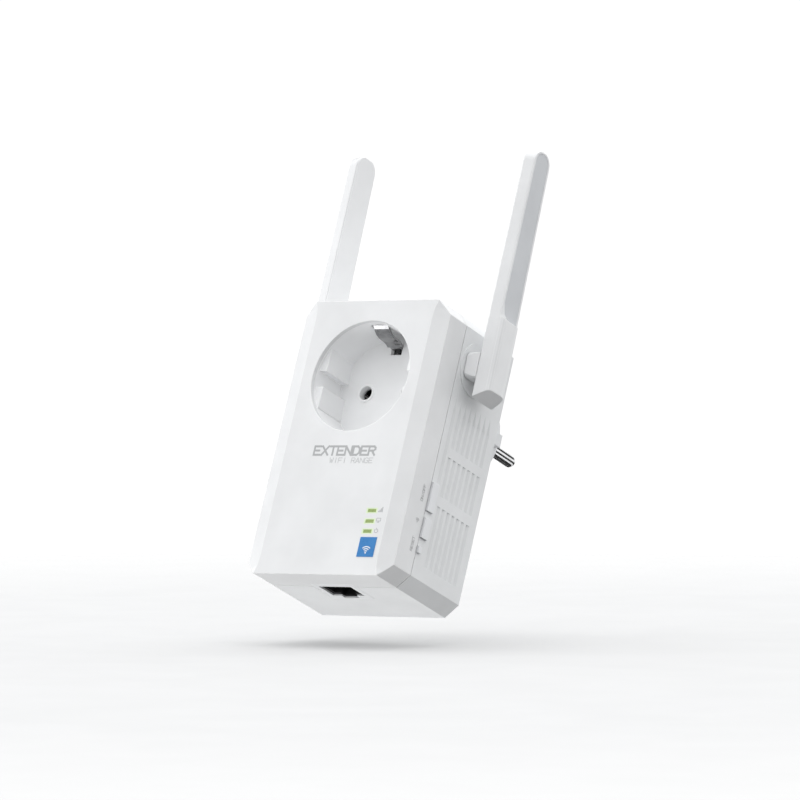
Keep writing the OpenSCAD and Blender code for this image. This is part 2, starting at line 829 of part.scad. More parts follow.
// The neck that carries the antenna, tapering from the housing to the blade
module neck() {
    r = 2.4;
    end = blade_x - 0.03;
    wide = neck_w / 2;
    high = neck_h / 2;
    intersection() {
        along_x(hub_x0, end) translate([pivot_y, pivot_z]) union() {
            square([neck_w - 2 * r, neck_h], center = true);
            square([neck_w, neck_h - 2 * r], center = true);
            for (i = [-1, 1], j = [-1, 1])
                translate([i * (wide - r), j * (high - r)]) circle(r = r, $fn = 48);
        }
        translate([0, pivot_y, pivot_z - neck_h]) linear_extrude(2 * neck_h)
            polygon([[hub_x0 - 1, -wide], [hub_x0, -wide], [blade_x, -antenna_w / 2],
                [blade_x, antenna_w / 2], [hub_x0, wide], [hub_x0 - 1, wide]]);
    }
}

module hub() {
    seat() leaning() difference() {
        union() {
            neck();
            rod_x(pivot_y, pivot_z, shaft_r, shaft_end, hub_x0 + 0.5);
        }
        rod_x(pivot_y, pivot_z, shaft_bore, shaft_end - 1, blade_x + 1);
        difference() {
            rod_x(pivot_y, pivot_z, shaft_r + 1,
                bearing_x - washer_t - clip_t - 0.15, bearing_x - washer_t - 0.05);
            rod_x(pivot_y, pivot_z, groove_r, shaft_end - 1, bearing_x);
        }
    }
}

module hub_clip() {
    x1 = bearing_x - washer_t - 0.1;
    seat() difference() {
        rod_x(pivot_y, pivot_z, 5.8, x1 - clip_t, x1);
        rod_x(pivot_y, pivot_z, groove_r + 0.04, x1 - clip_t - 1, x1 + 1);
        block(x1 - clip_t - 1, x1 + 1, pivot_y, pivot_y + 8, pivot_z - 2, pivot_z + 2);
    }
}

module hub_washer() {
    seat() difference() {
        rod_x(pivot_y, pivot_z, 6.2, bearing_x - washer_t - 0.05, bearing_x - 0.05);
        rod_x(pivot_y, pivot_z, shaft_r + 0.1, bearing_x - washer_t - 1, bearing_x + 1);
    }
}

// A quarter turn of cable: from [bend, 0] it curves round the Z axis to [0, bend]
module cable_bend(bend)
    rotate_extrude(angle = 90) translate([bend, 0]) circle(r = cable_r, $fn = 24);

module cable(p, turn, len)
    translate(p) rotate(turn) cylinder(r = cable_r, h = len, $fn = 24);

// The aerial lead: out of the hollow pivot, down behind the well, forward to
// its connector on the back of the logic board
module coax() {
    x = 23.8;
    run_z = 48;
    turn_in = 2;
    turn_out = 5;
    start = cable_joint - 0.05;
    plug_y = main_back + 2;
    seat() {
        cable([x + turn_in, pivot_y, pivot_z], [0, 90, 0], start - x - turn_in);
        translate([x + turn_in, pivot_y, pivot_z - turn_in]) rotate([90, 0, 0])
            rotate([0, 0, 90]) cable_bend(turn_in);
        cable([x, pivot_y, run_z + turn_out], [0, 0, 0],
            pivot_z - turn_in - run_z - turn_out);
        translate([x, pivot_y - turn_out, run_z + turn_out]) rotate([90, 0, -90])
            rotate([0, 0, 180]) cable_bend(turn_out);
        cable([x, plug_y, run_z], [-90, 0, 0], pivot_y - turn_out - plug_y);
        rod_y(x, run_z, 1.4, main_back + 0.05, plug_y + 0.5);
    }
}

// The end of the lead that turns with the antenna, up to the foot of the radiator
module coax_tail() {
    turn = 1;
    x = blade_x + 2.2;
    seat() leaning() {
        cable([cable_joint + 0.05, pivot_y, pivot_z], [0, 90, 0],
            x - turn - cable_joint - 0.05);
        translate([x - turn, pivot_y, pivot_z + turn]) rotate([90, 0, 0])
            rotate([0, 0, -90]) cable_bend(turn);
        cable([x, pivot_y, pivot_z + turn], [0, 0, 0], flat_z0 + 3.9 - pivot_z - turn);
    }
}

module right_antenna() color(white) antenna();
module right_antenna_panel() color(pale) antenna_panel();
module right_radiator() color("goldenrod") radiator();
module right_hub() color(white) hub();
module right_hub_clip() color(metal) hub_clip();
module right_hub_washer() color("dimgray") hub_washer();
module right_coax() color("black") coax();
module right_coax_tail() color("black") coax_tail();

module left_antenna() mirror([1, 0, 0]) right_antenna();
module left_antenna_panel() mirror([1, 0, 0]) right_antenna_panel();
module left_radiator() mirror([1, 0, 0]) right_radiator();
module left_hub() mirror([1, 0, 0]) right_hub();
module left_hub_clip() mirror([1, 0, 0]) right_hub_clip();
module left_hub_washer() mirror([1, 0, 0]) right_hub_washer();
module left_coax() mirror([1, 0, 0]) right_coax();
module left_coax_tail() mirror([1, 0, 0]) right_coax_tail();

// ------------------------------------------------------------ fasteners, labels
module case_screws() {
    color(metal) seat() each_case_screw()
        screw(0, 0, head_seat + 1.85, 4, head_r, shank_r - 0.3);
}

module front_badge()
    color("steelblue") seat() block(17.2, 24.6, -0.15, -0.01, 7, 14.6);

module rating_label()
    color(pale) seat() block(-20, 20, body_d + 0.01, body_d + 0.15, 18, 44);

front_shell();
rear_shell();
socket_well();
earth_strap();
live_contact();
neutral_contact();
plug_body();
live_pin();
neutral_pin();
plug_earth_contacts();
earth_receptacle();
power_board();
transformer_core();
transformer_winding();
input_capacitors();
output_capacitors();
mains_fuse();
surge_varistor();
mains_choke();
rectifier();
board_link();
board_screws();
main_board();
rf_shield();
wifi_chip();
memory_chip();
lan_magnetics();
ethernet_jack();
jack_contacts();
port_bezel();
status_leds();
signal_light_guide();
lan_light_guide();
power_light_guide();
power_button();
power_switch();
pairing_button();
pairing_switch();
reset_button();
reset_switch();
left_antenna();
left_antenna_panel();
left_radiator();
left_hub();
left_hub_clip();
left_hub_washer();
left_coax();
left_coax_tail();
right_antenna();
right_antenna_panel();
right_radiator();
right_hub();
right_hub_clip();
right_hub_washer();
right_coax();
right_coax_tail();
case_screws();
front_badge();
rating_label();
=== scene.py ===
"""Looks of the plug-in wifi range extender: materials, printed marks, light and camera."""

import math

import bmesh
import bpy
from mathutils import Matrix, Vector


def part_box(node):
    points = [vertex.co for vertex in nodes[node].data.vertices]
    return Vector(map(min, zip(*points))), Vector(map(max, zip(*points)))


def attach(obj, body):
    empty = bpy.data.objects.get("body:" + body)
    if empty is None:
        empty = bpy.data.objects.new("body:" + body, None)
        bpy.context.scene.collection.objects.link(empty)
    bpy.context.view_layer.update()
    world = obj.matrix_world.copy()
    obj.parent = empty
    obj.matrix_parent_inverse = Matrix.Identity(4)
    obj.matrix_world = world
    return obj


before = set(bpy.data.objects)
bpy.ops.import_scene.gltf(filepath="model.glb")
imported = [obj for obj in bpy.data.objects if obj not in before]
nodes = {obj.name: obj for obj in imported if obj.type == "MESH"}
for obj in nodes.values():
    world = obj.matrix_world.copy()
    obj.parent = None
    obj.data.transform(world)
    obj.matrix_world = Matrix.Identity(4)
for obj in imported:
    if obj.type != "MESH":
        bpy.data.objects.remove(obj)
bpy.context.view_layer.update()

# ------------------------------------------------------------ places, from the frame
MM = 0.001
X, Y, Z = Vector((1, 0, 0)), Vector((0, 1, 0)), Vector((0, 0, 1))
front_low, front_high = (Vector(corner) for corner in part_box("front_shell"))
CORNER = Vector((0, front_low.y, front_low.z))  # bottom of the front face, on the middle line
SIDE_X = front_high.x / MM  # the flat of the right side, in millimetres


def at(x, y, z):
    """A place in millimetres right of, behind and above the bottom of the front face."""
    return CORNER + Vector((x, y, z)) * MM


def middle(node):
    """The middle of a piece's box at rest."""
    low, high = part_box(node)
    return (Vector(low) + Vector(high)) / 2


def on_front(place):
    """The place on the front face straight before another one."""
    return Vector((place.x, front_low.y, place.z))


# ------------------------------------------------------------ materials
def tree_of(name):
    mat = bpy.data.materials.new(name)
    mat.use_nodes = True
    tree = mat.node_tree
    tree.nodes.clear()
    out = tree.nodes.new("ShaderNodeOutputMaterial")
    return mat, tree, out


def add(tree, kind, **values):
    """A shader node with its inputs set by name, spaces written as underscores."""
    node = tree.nodes.new(kind)
    for key, value in values.items():
        key = key.replace("_", " ")
        if key in node.inputs:
            node.inputs[key].default_value = value
        else:
            setattr(node, key.replace(" ", "_"), value)
    return node


def noise(tree, coords, scale, detail=2.0, roughness=0.5):
    node = add(tree, "ShaderNodeTexNoise", Scale=scale, Detail=detail, Roughness=roughness)
    tree.links.new(coords, node.inputs["Vector"])
    return node.outputs["Fac"]


def ranged(tree, value, low, high, out_low, out_high):
    node = add(tree, "ShaderNodeMapRange", From_Min=low, From_Max=high,
               To_Min=out_low, To_Max=out_high)
    tree.links.new(value, node.inputs["Value"])
    return node.outputs["Result"]


def mixed(tree, factor, a, b):
    node = tree.nodes.new("ShaderNodeMix")
    node.data_type = "RGBA"
    tree.links.new(factor, node.inputs["Factor"])
    for socket, colour in ((node.inputs["A"], a), (node.inputs["B"], b)):
        if isinstance(colour, tuple):
            socket.default_value = (*colour, 1.0)
        else:
            tree.links.new(colour, socket)
    return node.outputs["Result"]


EDGE_STARTS, EDGE_FULL = 0.9985, 0.986  # how far the rounded normal agrees with the flat one
BEVEL_SAMPLES = 6


def edge_factor(tree, radius):
    """How much a point lies on an edge, from 0 to 1, and the normal rounded over it."""
    soft = add(tree, "ShaderNodeBevel", Radius=radius)
    soft.samples = BEVEL_SAMPLES
    true = tree.nodes.new("ShaderNodeNewGeometry")
    dot = add(tree, "ShaderNodeVectorMath", operation="DOT_PRODUCT")
    tree.links.new(soft.outputs["Normal"], dot.inputs[0])
    tree.links.new(true.outputs["Normal"], dot.inputs[1])
    edges = ranged(tree, dot.outputs["Value"], EDGE_STARTS, EDGE_FULL, 0.0, 1.0)
    return edges, soft.outputs["Normal"]


def surface(name, colour, shade=None, rough=0.4, rough_vary=0.06, metallic=0.0,
            grain=2500.0, bump=0.02, blotch=60.0, edge=0.35, edge_colour=None,
            coat=0.0, sheen_scale=None, specular=0.5, glow=0.0, glow_colour=None):
    """A moulded, printed or metal surface: blotches of shade, grain, and a painted highlight along
    edges and creases.
    """
    mat, tree, out = tree_of(name)
    coords = tree.nodes.new("ShaderNodeTexCoord").outputs["Object"]
    if sheen_scale:
        stretch = add(tree, "ShaderNodeMapping", Scale=sheen_scale)
        tree.links.new(coords, stretch.inputs["Vector"])
        grain_coords = stretch.outputs["Vector"]
    else:
        grain_coords = coords
    bsdf = add(tree, "ShaderNodeBsdfPrincipled", Metallic=metallic)
    bsdf.inputs["Specular IOR Level"].default_value = specular
    bsdf.inputs["Coat Weight"].default_value = coat
    shade = shade or tuple(c * 0.93 for c in colour)
    # Unless given, the edge colour is a lighter copy of the body colour: a painted highlight.
    edge_colour = edge_colour or tuple(min(0.98, c * 1.1 + 0.04) for c in colour)
    blotches = ranged(tree, noise(tree, coords, blotch, 3.0), 0.3, 0.7, 0.0, 1.0)
    fine = noise(tree, grain_coords, grain, 3.0, 0.6)
    edges, soft_normal = edge_factor(tree, edge * MM)
    body = mixed(tree, blotches, colour, shade)
    # Painted highlight: edges and creases are mixed towards the edge colour.
    edge_highlit = mixed(tree, edges, body, edge_colour)
    tree.links.new(edge_highlit, bsdf.inputs["Base Color"])
    tree.links.new(ranged(tree, fine, 0.25, 0.75, rough - rough_vary, rough + rough_vary),
                   bsdf.inputs["Roughness"])
    relief = add(tree, "ShaderNodeBump", Strength=bump, Distance=0.0002)
    tree.links.new(fine, relief.inputs["Height"])
    tree.links.new(soft_normal, relief.inputs["Normal"])
    tree.links.new(relief.outputs["Normal"], bsdf.inputs["Normal"])
    if glow:
        bsdf.inputs["Emission Color"].default_value = (*(glow_colour or colour), 1.0)
        bsdf.inputs["Emission Strength"].default_value = glow
    tree.links.new(bsdf.outputs["BSDF"], out.inputs["Surface"])
    return mat


WHITE = (0.805, 0.81, 0.815)
MATERIALS = {
    # The near-white edge colour is a painted highlight along the front's edges and creases.
    "front_plastic": surface("front_plastic", WHITE, rough=0.34, bump=0.05, edge=0.4,
                             edge_colour=(0.98, 0.98, 0.98)),
    "rear_plastic": surface("rear_plastic", (0.81, 0.82, 0.825), rough=0.42, bump=0.08, edge=0.1),
    # The well's paler colour and its faint glow are painted light, filling the shade inside the
    # well.
    "well_plastic_painted_fill": surface("well_plastic_painted_fill", (0.88, 0.885, 0.89), rough=0.38, edge=0.4, glow=0.05),
    "plug_plastic": surface("plug_plastic", (0.80, 0.81, 0.82), rough=0.4, edge=0.3),
    "antenna_plastic": surface("antenna_plastic", (0.84, 0.845, 0.85), rough=0.33, edge=0.4),
    "panel_plastic": surface("panel_plastic", (0.64, 0.655, 0.675), rough=0.45, edge=0.2),
    "port_plastic": surface("port_plastic", (0.84, 0.85, 0.86), rough=0.36, edge=0.25),
    "button_plastic": surface("button_plastic", (0.82, 0.83, 0.845), rough=0.36, edge=0.2),
    # The steel's dark colour and its much darker blotches are painted dark reflection, standing in
    # for the black that the strips reflect.
    "spring_steel": surface("spring_steel", (0.42, 0.42, 0.425), (0.24, 0.24, 0.245), rough=0.1,
                            rough_vary=0.05, metallic=1.0, grain=900, edge=0.12, blotch=180,
                            sheen_scale=(6, 1, 1), bump=0.03),
    "pin_nickel": surface("pin_nickel", (0.66, 0.66, 0.665), (0.52, 0.52, 0.525), rough=0.14,
                          rough_vary=0.06, metallic=1.0, grain=1200, edge=0.1,
                          sheen_scale=(8, 1, 8), bump=0.04),
    "contact_brass": surface("contact_brass", (0.76, 0.58, 0.28), (0.58, 0.40, 0.18), rough=0.28,
                             metallic=1.0, grain=1500, edge=0.1, blotch=250),
    "gold_contact": surface("gold_contact", (0.86, 0.66, 0.28), (0.72, 0.52, 0.2), rough=0.2,
                            metallic=1.0, grain=3000, edge=0.03, blotch=500),
    "board_green": surface("board_green", (0.03, 0.17, 0.08), (0.02, 0.12, 0.055), rough=0.35,
                           grain=1800, blotch=450, edge=0.1, edge_colour=(0.42, 0.40, 0.26)),
    "ferrite": surface("ferrite", (0.07, 0.07, 0.075), (0.04, 0.04, 0.045), rough=0.7,
                       grain=1800, bump=0.3, edge=0.3),
    "winding_tape": surface("winding_tape", (0.78, 0.56, 0.08), (0.66, 0.45, 0.05), rough=0.3,
                            grain=700, edge=0.2, sheen_scale=(1, 1, 14), bump=0.2),
    "can_blue": surface("can_blue", (0.03, 0.05, 0.22), (0.02, 0.035, 0.16), rough=0.3, edge=0.3),
    "can_dark": surface("can_dark", (0.03, 0.05, 0.05), (0.02, 0.03, 0.03), rough=0.3, edge=0.3),
    "fuse_tan": surface("fuse_tan", (0.62, 0.50, 0.34), (0.52, 0.40, 0.26), rough=0.4, edge=0.2),
    "varistor_blue": surface("varistor_blue", (0.04, 0.13, 0.48), (0.03, 0.10, 0.38), rough=0.35,
                             edge=0.6),
    "choke_brown": surface("choke_brown", (0.36, 0.15, 0.06), (0.24, 0.09, 0.03), rough=0.3,
                           grain=600, sheen_scale=(1, 12, 1), bump=0.5, edge=0.2),
    "package_black": surface("package_black", (0.022, 0.022, 0.024), (0.015, 0.015, 0.016),
                             rough=0.5, grain=2600, bump=0.15, edge=0.15,
                             edge_colour=(0.06, 0.06, 0.06)),
    "jack_black": surface("jack_black", (0.012, 0.012, 0.013), (0.008, 0.008, 0.009), rough=0.6,
                          edge=0.1, edge_colour=(0.03, 0.03, 0.03), specular=0.12),
    "header_ivory": surface("header_ivory", (0.78, 0.73, 0.58), rough=0.45, edge=0.15),
    "shield_tin": surface("shield_tin", (0.60, 0.61, 0.62), (0.48, 0.49, 0.50), rough=0.32,
                          metallic=1.0, grain=1400, sheen_scale=(1, 1, 9), edge=0.2),
    "screw_steel": surface("screw_steel", (0.56, 0.57, 0.58), (0.42, 0.43, 0.44), rough=0.3,
                           metallic=1.0, grain=1600, edge=0.15),
    "washer_dark": surface("washer_dark", (0.05, 0.05, 0.05), rough=0.7, bump=0.3, edge=0.15),
    "coax_black": surface("coax_black", (0.025, 0.025, 0.026), rough=0.45, bump=0.1, edge=0.1),
    "led_green": surface("led_green", (0.42, 0.80, 0.35), rough=0.2, edge=0.05,
                         glow=0.6, glow_colour=(0.45, 0.9, 0.2)),
    "light_guide": surface("light_guide", (0.23, 0.30, 0.11), (0.30, 0.38, 0.15), rough=0.25,
                           blotch=700, edge=0.35, edge_colour=(0.42, 0.58, 0.22), glow=0.12,
                           glow_colour=(0.35, 0.50, 0.14)),
    "light_halo": surface("light_halo", (0.72, 0.84, 0.56), (0.76, 0.86, 0.62), rough=0.4,
                          edge=0.02, edge_colour=(0.78, 0.87, 0.66), blotch=500),
    "badge_blue": surface("badge_blue", (0.035, 0.20, 0.50), (0.045, 0.23, 0.55), rough=0.3,
                          edge=0.05, blotch=140),
    "label_grey": surface("label_grey", (0.74, 0.75, 0.76), rough=0.5, edge=0.03),
    "grey_print": surface("grey_print", (0.44, 0.445, 0.45), (0.40, 0.405, 0.41), rough=0.5,
                          edge=0.01),
    "faint_print": surface("faint_print", (0.56, 0.565, 0.57), (0.52, 0.525, 0.53), rough=0.5,
                           edge=0.01),
    "white_print": surface("white_print", (0.88, 0.89, 0.90), rough=0.4, edge=0.01),
}

LOOKS = {
    "front_plastic": ["front_shell"],
    "rear_plastic": ["rear_shell"],
    "well_plastic_painted_fill": ["socket_well"],
    "plug_plastic": ["plug_body"],
    "port_plastic": ["port_bezel"],
    "button_plastic": ["power_button", "pairing_button", "reset_button"],
    "spring_steel": ["earth_strap", "plug_earth_contacts"],
    "pin_nickel": ["live_pin", "neutral_pin", "live_contact", "neutral_contact"],
    "contact_brass": ["earth_receptacle"],
    "gold_contact": ["jack_contacts"],
    "board_green": ["power_board", "main_board"],
    "ferrite": ["transformer_core"],
    "winding_tape": ["transformer_winding"],
    "can_blue": ["input_capacitors"],
    "can_dark": ["output_capacitors"],
    "fuse_tan": ["mains_fuse"],
    "varistor_blue": ["surge_varistor"],
    "choke_brown": ["mains_choke"],
    "package_black": ["rectifier", "wifi_chip", "memory_chip", "lan_magnetics",
                      "power_switch", "pairing_switch", "reset_switch"],
    "jack_black": ["ethernet_jack"],
    "header_ivory": ["board_link"],
    "shield_tin": ["rf_shield"],
    "screw_steel": ["board_screws", "case_screws"],
    "led_green": ["status_leds"],
    "light_guide": ["signal_light_guide", "lan_light_guide", "power_light_guide"],
    "badge_blue": ["front_badge"],
    "label_grey": ["rating_label"],
}
SIDE_LOOKS = {
    "antenna_plastic": ["antenna", "hub"],
    "panel_plastic": ["antenna_panel"],
    "contact_brass": ["radiator"],
    "spring_steel": ["hub_clip"],
    "washer_dark": ["hub_washer"],
    "coax_black": ["coax", "coax_tail"],
}
for look, names in SIDE_LOOKS.items():
    LOOKS.setdefault(look, []).extend(f"{side}_{n}" for side in ("left", "right") for n in names)
for look, names in LOOKS.items():
    for name in names:
        nodes[name].data.materials.clear()
        nodes[name].data.materials.append(MATERIALS[look])


# ------------------------------------------------------------ printed marks
def outline_ring(radius, start=0.0, end=360.0, steps=32, centre=(0.0, 0.0)):
    return [(centre[0] + radius * math.cos(math.radians(start + (end - start) * i / steps)),
             centre[1] + radius * math.sin(math.radians(start + (end - start) * i / steps)))
            for i in range(steps + 1)]


def arc_band(radius, width, start, end, centre=(0.0, 0.0)):
    """A strip bent round an arc, as quads."""
    outer = outline_ring(radius + width / 2, start, end, 28, centre)
    inner = outline_ring(radius - width / 2, start, end, 28, centre)
    return [[outer[i], outer[i + 1], inner[i + 1], inner[i]] for i in range(28)]


def bar(x0, y0, x1, y1):
    return [[(x0, y0), (x1, y0), (x1, y1), (x0, y1)]]


def disc(radius, centre=(0.0, 0.0)):
    return [outline_ring(radius, 0, 360, 24, centre)[:-1]]


def power_symbol(size):
    r, w = size * 0.38, size * 0.1
    return arc_band(r, w, -235, 55) + bar(-w / 2, size * 0.08, w / 2, size * 0.55)


def waves_symbol(size):
    marks = disc(size * 0.09, (0, -size * 0.3))
    for k in (1, 2, 3):
        marks += arc_band(size * 0.22 * k, size * 0.1, 45, 135, (0, -size * 0.3))
    return marks


def bars_symbol(size):
    marks = []
    for k in range(4):
        x = -size * 0.5 + k * size * 0.26
        marks += bar(x, -size * 0.4, x + size * 0.16, -size * 0.4 + size * 0.24 * (k + 1))
    return marks


def screen_symbol(size):
    w, h, t = size * 0.5, size * 0.32, size * 0.09
    low = -size * 0.12
    return (bar(-w, low, w, low + t) + bar(-w, low + 2 * h - t, w, low + 2 * h)
            + bar(-w, low + t, -w + t, low + 2 * h - t) + bar(w - t, low + t, w, low + 2 * h - t)
            + bar(-t / 2, low - size * 0.16, t / 2, low)
            + bar(-w * 0.5, low - size * 0.16 - t, w * 0.5, low - size * 0.16))


def turn_symbol(size):
    r, w = size * 0.36, size * 0.1
    tip = math.radians(40)
    x, y = r * math.cos(tip), r * math.sin(tip)
    head = [[(x - size * 0.2, y + size * 0.02), (x + size * 0.18, y - size * 0.02),
             (x + size * 0.02, y + size * 0.26)]]
    return arc_band(r, w, 70, 330) + head


# Plain stroke letters on a grid four wide and six high
LETTERS = {
    "A": [[(0, 0), (2, 6), (4, 0)], [(0.7, 2), (3.3, 2)]],
    "D": [[(0, 0), (0, 6), (2.6, 6), (4, 4.6), (4, 1.4), (2.6, 0), (0, 0)]],
    "E": [[(4, 6), (0, 6), (0, 0), (4, 0)], [(0, 3), (3.2, 3)]],
    "F": [[(0, 0), (0, 6), (4, 6)], [(0, 3), (3.2, 3)]],
    "G": [[(4, 5), (3, 6), (1, 6), (0, 5), (0, 1), (1, 0), (3, 0), (4, 1), (4, 3), (2.4, 3)]],
    "I": [[(2, 0), (2, 6)]],
    "N": [[(0, 0), (0, 6), (4, 0), (4, 6)]],
    "O": [[(1, 0), (0, 1), (0, 5), (1, 6), (3, 6), (4, 5), (4, 1), (3, 0), (1, 0)]],
    "R": [[(0, 0), (0, 6), (3, 6), (4, 5), (4, 4), (3, 3), (0, 3)], [(2, 3), (4, 0)]],
    "S": [[(4, 5), (3, 6), (1, 6), (0, 5), (0, 4), (1, 3), (3, 3), (4, 2), (4, 1), (3, 0),
           (1, 0), (0, 1)]],
    "T": [[(0, 6), (4, 6)], [(2, 6), (2, 0)]],
    "W": [[(0, 6), (1, 0), (2, 4), (3, 0), (4, 6)]],
    "X": [[(0, 0), (4, 6)], [(0, 6), (4, 0)]],
    "/": [[(0.6, 0), (3.4, 6)]],
    " ": [],
}


def stroke(a, b, width):
    """A line from a to b as one quad, its ends reaching past by half the width."""
    along = Vector((b[0] - a[0], b[1] - a[1])).normalized() * (width / 2)
    side = Vector((-along.y, along.x))
    a, b = Vector(a) - along, Vector(b) + along
    return [tuple(a + side), tuple(a - side), tuple(b - side), tuple(b + side)]


def lettering(words, width, height, weight):
    """Words in stroke letters, from the left end of their base line."""
    pitch = width / (len(words) - 0.22)
    kx, ky = pitch * 0.78 / 4, height / 6
    marks = []
    for i, letter in enumerate(words):
        for line in LETTERS[letter]:
            points = [(i * pitch + x * kx, y * ky) for x, y in line]
            marks += [stroke(a, b, weight) for a, b in zip(points, points[1:])]
    return marks


def new_piece(name, bm, material):
    """A scene object made from a finished bmesh."""
    mesh = bpy.data.meshes.new(name)
    bm.to_mesh(mesh)
    bm.free()
    mesh.materials.append(material)
    obj = bpy.data.objects.new(name, mesh)
    bpy.context.scene.collection.objects.link(obj)
    return obj


INK = 0.03  # thickness of the ink, in millimetres
INK_LIFT = 0.004  # gap under it, so that it never shares a face with the housing
INK_STEP = 0.002  # neighbouring strokes differ by this, so that they don't share a top
INK_STEPS = 9


def print_mark(name, polygons, corner, right, up, material, thick=INK):
    """Thin ink in the given polygons, standing on a face of the housing through corner."""
    out = right.cross(up).normalized()
    bm = bmesh.new()
    for k, loop in enumerate(polygons):
        places = [corner + (right * x + up * y) * MM + out * INK_LIFT * MM for x, y in loop]
        base = bm.faces.new([bm.verts.new(place) for place in places])
        grown = bmesh.ops.extrude_face_region(bm, geom=[base])["geom"]
        raised = [part for part in grown if isinstance(part, bmesh.types.BMVert)]
        top = thick + INK_STEP * (k % INK_STEPS)
        bmesh.ops.translate(bm, verts=raised, vec=out * top * MM)
    bmesh.ops.recalc_face_normals(bm, faces=bm.faces)
    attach(new_piece(name, bm, MATERIALS[material]), "housing")


ICON = 2.0
ICON_GAP = 3.9  # from the middle of a light to the middle of its icon
ICON_RISE = 0.2
LIGHT_HALF = (1.88, 0.68)  # the window round a light guide
HALO_HALF = (2.5, 1.05)
BADGE_WAVES_DROP = 1.2  # the waves stand on a dot, so they start below the middle


def frame_of(inner, outer):
    """The four bars between two boxes about one middle, each given by its half sizes."""
    (x0, y0), (x1, y1) = inner, outer
    return (bar(-x1, y0, x1, y1) + bar(-x1, -y1, x1, -y0)
            + bar(-x1, -y0, -x0, y0) + bar(x0, -y0, x1, y0))


for name, symbol in (("signal", bars_symbol), ("lan", screen_symbol), ("power", power_symbol)):
    light = on_front(middle(f"{name}_light_guide"))
    beside = light + (X * ICON_GAP + Z * ICON_RISE) * MM
    print_mark(f"{name}_icon", symbol(ICON), beside, X, Z, "grey_print")
    print_mark(f"{name}_halo", frame_of(LIGHT_HALF, HALO_HALF), light, X, Z, "light_halo",
               thick=0.01)

badge = middle("front_badge")
badge.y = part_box("front_badge")[0][1]
print_mark("badge_mark", waves_symbol(3.6), badge - Z * BADGE_WAVES_DROP * MM, X, Z, "white_print")

print_mark("front_word", lettering("EXTENDER", 27.6, 3.3, 0.75), at(-12.9, 0, 46.5), X, Z,
           "grey_print")
print_mark("front_line", lettering("WIFI RANGE", 19.4, 1.9, 0.26), at(-4.9, 0, 43.4), X, Z,
           "faint_print")


def beside_button(button, depth, rise):
    """A place on the right side, depth behind the front and rise above a button's middle."""
    place = at(SIDE_X, depth, 0)
    place.z = middle(button).z + rise * MM
    return place


# Words that run upwards, and a symbol for pairing
print_mark("power_label", lettering("ON/OFF", 6.2, 1.25, 0.2),
           beside_button("power_button", 10.5, -3.2), Z, -Y, "grey_print")
print_mark("pairing_label", waves_symbol(2.2), beside_button("pairing_button", 10.0, 1.35), Y, Z,
           "grey_print")
print_mark("reset_label", lettering("RESET", 5.4, 1.25, 0.2),
           beside_button("reset_button", 10.8, -1.75), Z, -Y, "grey_print")

# The label on the back carries bars in place of its lines, and a square
ROW_LEFT, ROW_TOP, ROW_PITCH, ROW_H = -17, 8, 3.6, 1.1
ROW_ENDS = (6, 11, 2, 8, -3)
label_rows = []
for row, row_end in enumerate(ROW_ENDS):
    low = ROW_TOP - row * ROW_PITCH
    label_rows += bar(ROW_LEFT, low, row_end, low + ROW_H)
label_rows += bar(12, -10, 17, -5) + bar(12, -1, 17, -0.4) + bar(12, 1, 17, 1.6)
label = middle("rating_label")
label.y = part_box("rating_label")[1][1]
print_mark("label_rows", label_rows, label, -X, Z, "grey_print")

# ------------------------------------------------------------ camera
# The camera stands low in front and to the right, looks up and is rolled a little
AIM = at(25.21, -5.76, 65.68)
CAMERA_DISTANCE = 2.013
CAMERA_TURN = math.radians(38.032)
CAMERA_RAISE = math.radians(17.414)
CAMERA_ROLL = math.radians(12.896)
LENS = 249.2

forward = Vector((-math.sin(CAMERA_TURN) * math.cos(CAMERA_RAISE),
                  math.cos(CAMERA_TURN) * math.cos(CAMERA_RAISE), math.sin(CAMERA_RAISE)))
level = forward.cross(Z).normalized()
right = level * math.cos(CAMERA_ROLL) + level.cross(forward) * math.sin(CAMERA_ROLL)
up = right.cross(forward)
camera_place = AIM - forward * CAMERA_DISTANCE
camera_data = bpy.data.cameras.new("camera")
camera_data.lens = LENS
camera_data.sensor_width = 36.0
camera_data.clip_start = 0.1
camera_data.clip_end = 50.0
camera = bpy.data.objects.new("camera", camera_data)
turned = Matrix((right, up, -forward)).transposed().to_4x4()
camera.matrix_world = Matrix.Translation(camera_place) @ turned
bpy.context.scene.collection.objects.link(camera)
bpy.context.scene.camera = camera


def seen(x, y, depth):
    """A place x to the right, y up and depth in front of the camera, in metres."""
    return camera_place + right * x + up * y + forward * depth


# ------------------------------------------------------------ floor
FLOOR_DROP = 0.0902
FLOOR_TILT = math.radians(1.2)
FLOOR_SOLID, FLOOR_REACH = 0.35, 0.9  # the paper is whole to the first and gone by the second
floor_centre = seen(0, -FLOOR_DROP, CAMERA_DISTANCE)


